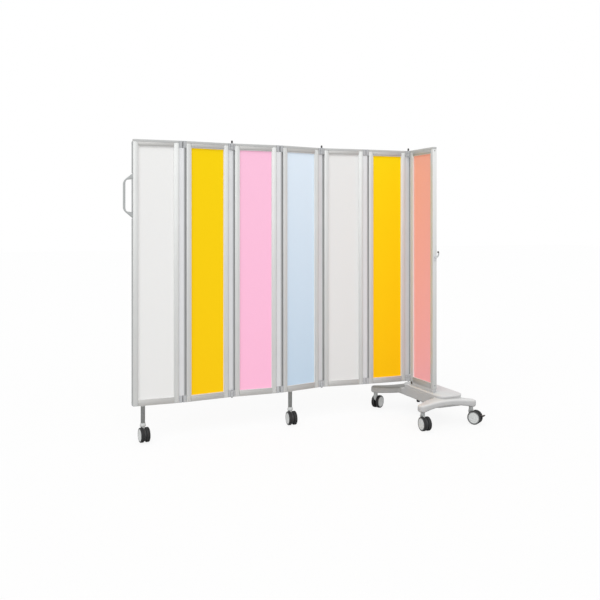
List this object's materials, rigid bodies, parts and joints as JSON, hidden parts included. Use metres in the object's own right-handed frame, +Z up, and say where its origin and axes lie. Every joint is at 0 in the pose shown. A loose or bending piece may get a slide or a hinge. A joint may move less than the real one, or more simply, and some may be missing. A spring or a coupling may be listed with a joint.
{
  "type": "folding ward screen",
  "caption": "Mobile folding ward privacy screen: tall framed leaves hinged as a concertina beside a castor base, with a pull handle, posts on castors and a hook latch.",
  "frame": {"origin": "middle of the screen's bounding box, on the floor", "axes": "+X from the handle end towards the base, +Y from the front to the rear of the open leaves, +Z up"},
  "size_m": [2.0386, 0.702, 1.6665],
  "materials": {
    "frame_aluminium": "satin silver anodised extrusion",
    "infill_white": "wipe-clean sheet, white",
    "infill_yellow": "wipe-clean sheet, yellow",
    "infill_pink": "wipe-clean sheet, pink",
    "infill_blue": "wipe-clean sheet, pale blue",
    "infill_pale_grey": "wipe-clean sheet, pale grey",
    "infill_amber": "wipe-clean sheet, amber yellow",
    "infill_coral": "wipe-clean sheet, coral",
    "sight_strip": "white satin coated strip",
    "hinge_grey": "grey satin powder coat",
    "base_moulding": "light grey moulding with a fine grain",
    "deck_moulding": "light grey smooth moulding",
    "steel_tube": "satin steel",
    "castor_housing": "grey nylon",
    "castor_tyre": "black soft tread with grey hub covers",
    "dark_plastic": "dark brown-grey nylon"
  },
  "bodies": {
    "base": {"base_body": "base_moulding", "base_deck": "deck_moulding", "mount_plate": "steel_tube", "fixing_cap": "dark_plastic", "leaf_7_frame": "frame_aluminium", "leaf_7_infill": "infill_coral", "hinge_6_top_block": "hinge_grey", "hinge_6_bottom_block": "hinge_grey", "latch_plate": "hinge_grey"},
    "leaf_6": {"leaf_6_frame": "frame_aluminium", "leaf_6_infill": "infill_amber", "hinge_6_strip": "sight_strip", "hinge_5_top_block": "hinge_grey", "hinge_5_bottom_block": "hinge_grey"},
    "leaf_5": {"leaf_5_frame": "frame_aluminium", "leaf_5_infill": "infill_pale_grey", "hinge_5_strip": "sight_strip", "hinge_4_top_block": "hinge_grey", "hinge_4_bottom_block": "hinge_grey"},
    "leaf_4": {"leaf_4_frame": "frame_aluminium", "leaf_4_infill": "infill_blue", "hinge_4_strip": "sight_strip", "hinge_3_top_block": "hinge_grey", "hinge_3_bottom_block": "hinge_grey", "leaf_4_post": "steel_tube"},
    "leaf_3": {"leaf_3_frame": "frame_aluminium", "leaf_3_infill": "infill_pink", "hinge_3_strip": "sight_strip", "hinge_2_top_block": "hinge_grey", "hinge_2_bottom_block": "hinge_grey"},
    "leaf_2": {"leaf_2_frame": "frame_aluminium", "leaf_2_infill": "infill_yellow", "hinge_2_strip": "sight_strip", "hinge_1_top_block": "hinge_grey", "hinge_1_bottom_block": "hinge_grey"},
    "leaf_1": {"leaf_1_frame": "frame_aluminium", "leaf_1_infill": "infill_white", "hinge_1_strip": "sight_strip", "leaf_1_post": "steel_tube", "pull_handle": "hinge_grey"},
    "far_left_castor": {"castor_far_left_housing": "castor_housing"},
    "far_left_wheels": {"castor_far_left_wheels": "castor_tyre"},
    "near_left_castor": {"castor_near_left_housing": "castor_housing"},
    "near_left_wheels": {"castor_near_left_wheels": "castor_tyre"},
    "near_right_castor": {"castor_near_right_housing": "castor_housing"},
    "near_right_wheels": {"castor_near_right_wheels": "castor_tyre"},
    "near_right_pedal": {"castor_near_right_pedal": "dark_plastic"},
    "far_right_castor": {"castor_far_right_housing": "castor_housing"},
    "far_right_wheels": {"castor_far_right_wheels": "castor_tyre"},
    "far_right_pedal": {"castor_far_right_pedal": "dark_plastic"},
    "leaf_4_castor": {"castor_leaf_4_housing": "castor_housing"},
    "leaf_4_wheels": {"castor_leaf_4_wheels": "castor_tyre"},
    "leaf_1_castor": {"castor_leaf_1_housing": "castor_housing"},
    "leaf_1_wheels": {"castor_leaf_1_wheels": "castor_tyre"},
    "latch": {"latch_hook": "dark_plastic"}
  },
  "joints": [
    {"name": "fold_6", "type": "hinge", "parent": "base", "child": "leaf_6", "pos_m": [0.75683, 0.11184, 0], "axis": [0, 0, 1], "range_deg": [-85.6, 94.4]},
    {"name": "fold_5", "type": "hinge", "parent": "leaf_6", "child": "leaf_5", "pos_m": [0.47014, 0.166, 0], "axis": [0, 0, -1], "range_deg": [-3.2, 176.8]},
    {"name": "fold_4", "type": "hinge", "parent": "leaf_5", "child": "leaf_4", "pos_m": [0.17846, 0.17264, 0], "axis": [0, 0, 1], "range_deg": [-16.7, 163.3]},
    {"name": "fold_3", "type": "hinge", "parent": "leaf_4", "child": "leaf_3", "pos_m": [-0.11295, 0.15837, 0], "axis": [0, 0, -1], "range_deg": [-12.4, 167.6]},
    {"name": "fold_2", "type": "hinge", "parent": "leaf_3", "child": "leaf_2", "pos_m": [-0.40431, 0.14311, 0], "axis": [0, 0, 1], "range_deg": [-7, 173]},
    {"name": "fold_1", "type": "hinge", "parent": "leaf_2", "child": "leaf_1", "pos_m": [-0.69578, 0.15633, 0], "axis": [0, 0, -1], "range_deg": [-7.4, 172.6]},
    {"name": "far_left_swivel", "type": "hinge", "parent": "base", "child": "far_left_castor", "pos_m": [0.61393, 0.27644, 0], "axis": [0, 0, 1], "continuous": true},
    {"name": "far_left_roll", "type": "hinge", "parent": "far_left_castor", "child": "far_left_wheels", "pos_m": [0.63536, 0.28932, 0.04], "axis": [-0.515, 0.8572, 0], "continuous": true},
    {"name": "near_left_swivel", "type": "hinge", "parent": "base", "child": "near_left_castor", "pos_m": [0.61393, -0.27155, 0], "axis": [0, 0, 1], "continuous": true},
    {"name": "near_left_roll", "type": "hinge", "parent": "near_left_castor", "child": "near_left_wheels", "pos_m": [0.61262, -0.29652, 0.04], "axis": [0.9986, -0.0523, 0], "continuous": true},
    {"name": "near_right_swivel", "type": "hinge", "parent": "base", "child": "near_right_castor", "pos_m": [0.95293, -0.27155, 0], "axis": [0, 0, 1], "continuous": true},
    {"name": "near_right_roll", "type": "hinge", "parent": "near_right_castor", "child": "near_right_wheels", "pos_m": [0.96618, -0.29276, 0.04], "axis": [0.848, 0.5299, 0], "continuous": true},
    {"name": "near_right_brake", "type": "hinge", "parent": "near_right_castor", "child": "near_right_pedal", "pos_m": [0.97733, -0.31059, 0.05528], "axis": [0.848, 0.5299, 0], "range_deg": [0, 15]},
    {"name": "far_right_swivel", "type": "hinge", "parent": "base", "child": "far_right_castor", "pos_m": [0.95293, 0.27644, 0], "axis": [0, 0, 1], "continuous": true},
    {"name": "far_right_roll", "type": "hinge", "parent": "far_right_castor", "child": "far_right_wheels", "pos_m": [0.969, 0.2956, 0.04], "axis": [-0.766, 0.6428, 0], "continuous": true},
    {"name": "far_right_brake", "type": "hinge", "parent": "far_right_castor", "child": "far_right_pedal", "pos_m": [0.98252, 0.31171, 0.05528], "axis": [-0.766, 0.6428, 0], "range_deg": [0, 15]},
    {"name": "leaf_4_swivel", "type": "hinge", "parent": "leaf_4", "child": "leaf_4_castor", "pos_m": [-0.03735, 0.15427, 0], "axis": [0, 0, 1], "continuous": true},
    {"name": "leaf_4_roll", "type": "hinge", "parent": "leaf_4_castor", "child": "leaf_4_wheels", "pos_m": [-0.0391, 0.12933, 0.04], "axis": [0.9976, -0.0698, 0], "continuous": true},
    {"name": "leaf_1_swivel", "type": "hinge", "parent": "leaf_1", "child": "leaf_1_castor", "pos_m": [-0.91236, 0.1543, 0], "axis": [0, 0, 1], "continuous": true},
    {"name": "leaf_1_roll", "type": "hinge", "parent": "leaf_1_castor", "child": "leaf_1_wheels", "pos_m": [-0.91061, 0.12937, 0.04], "axis": [0.9976, 0.0698, 0], "continuous": true},
    {"name": "latch_turn", "type": "hinge", "parent": "base", "child": "latch", "pos_m": [0.77283, -0.16476, 0.987], "axis": [0, -1, 0], "range_deg": [0, 100]}
  ],
  "couplings": [
    {"joint": "fold_6", "follows": "fold_5", "ratio": 0.5339},
    {"joint": "fold_4", "follows": "fold_5", "ratio": 0.9236},
    {"joint": "fold_3", "follows": "fold_5", "ratio": 0.9479},
    {"joint": "fold_2", "follows": "fold_5", "ratio": 0.9785}
  ]
}
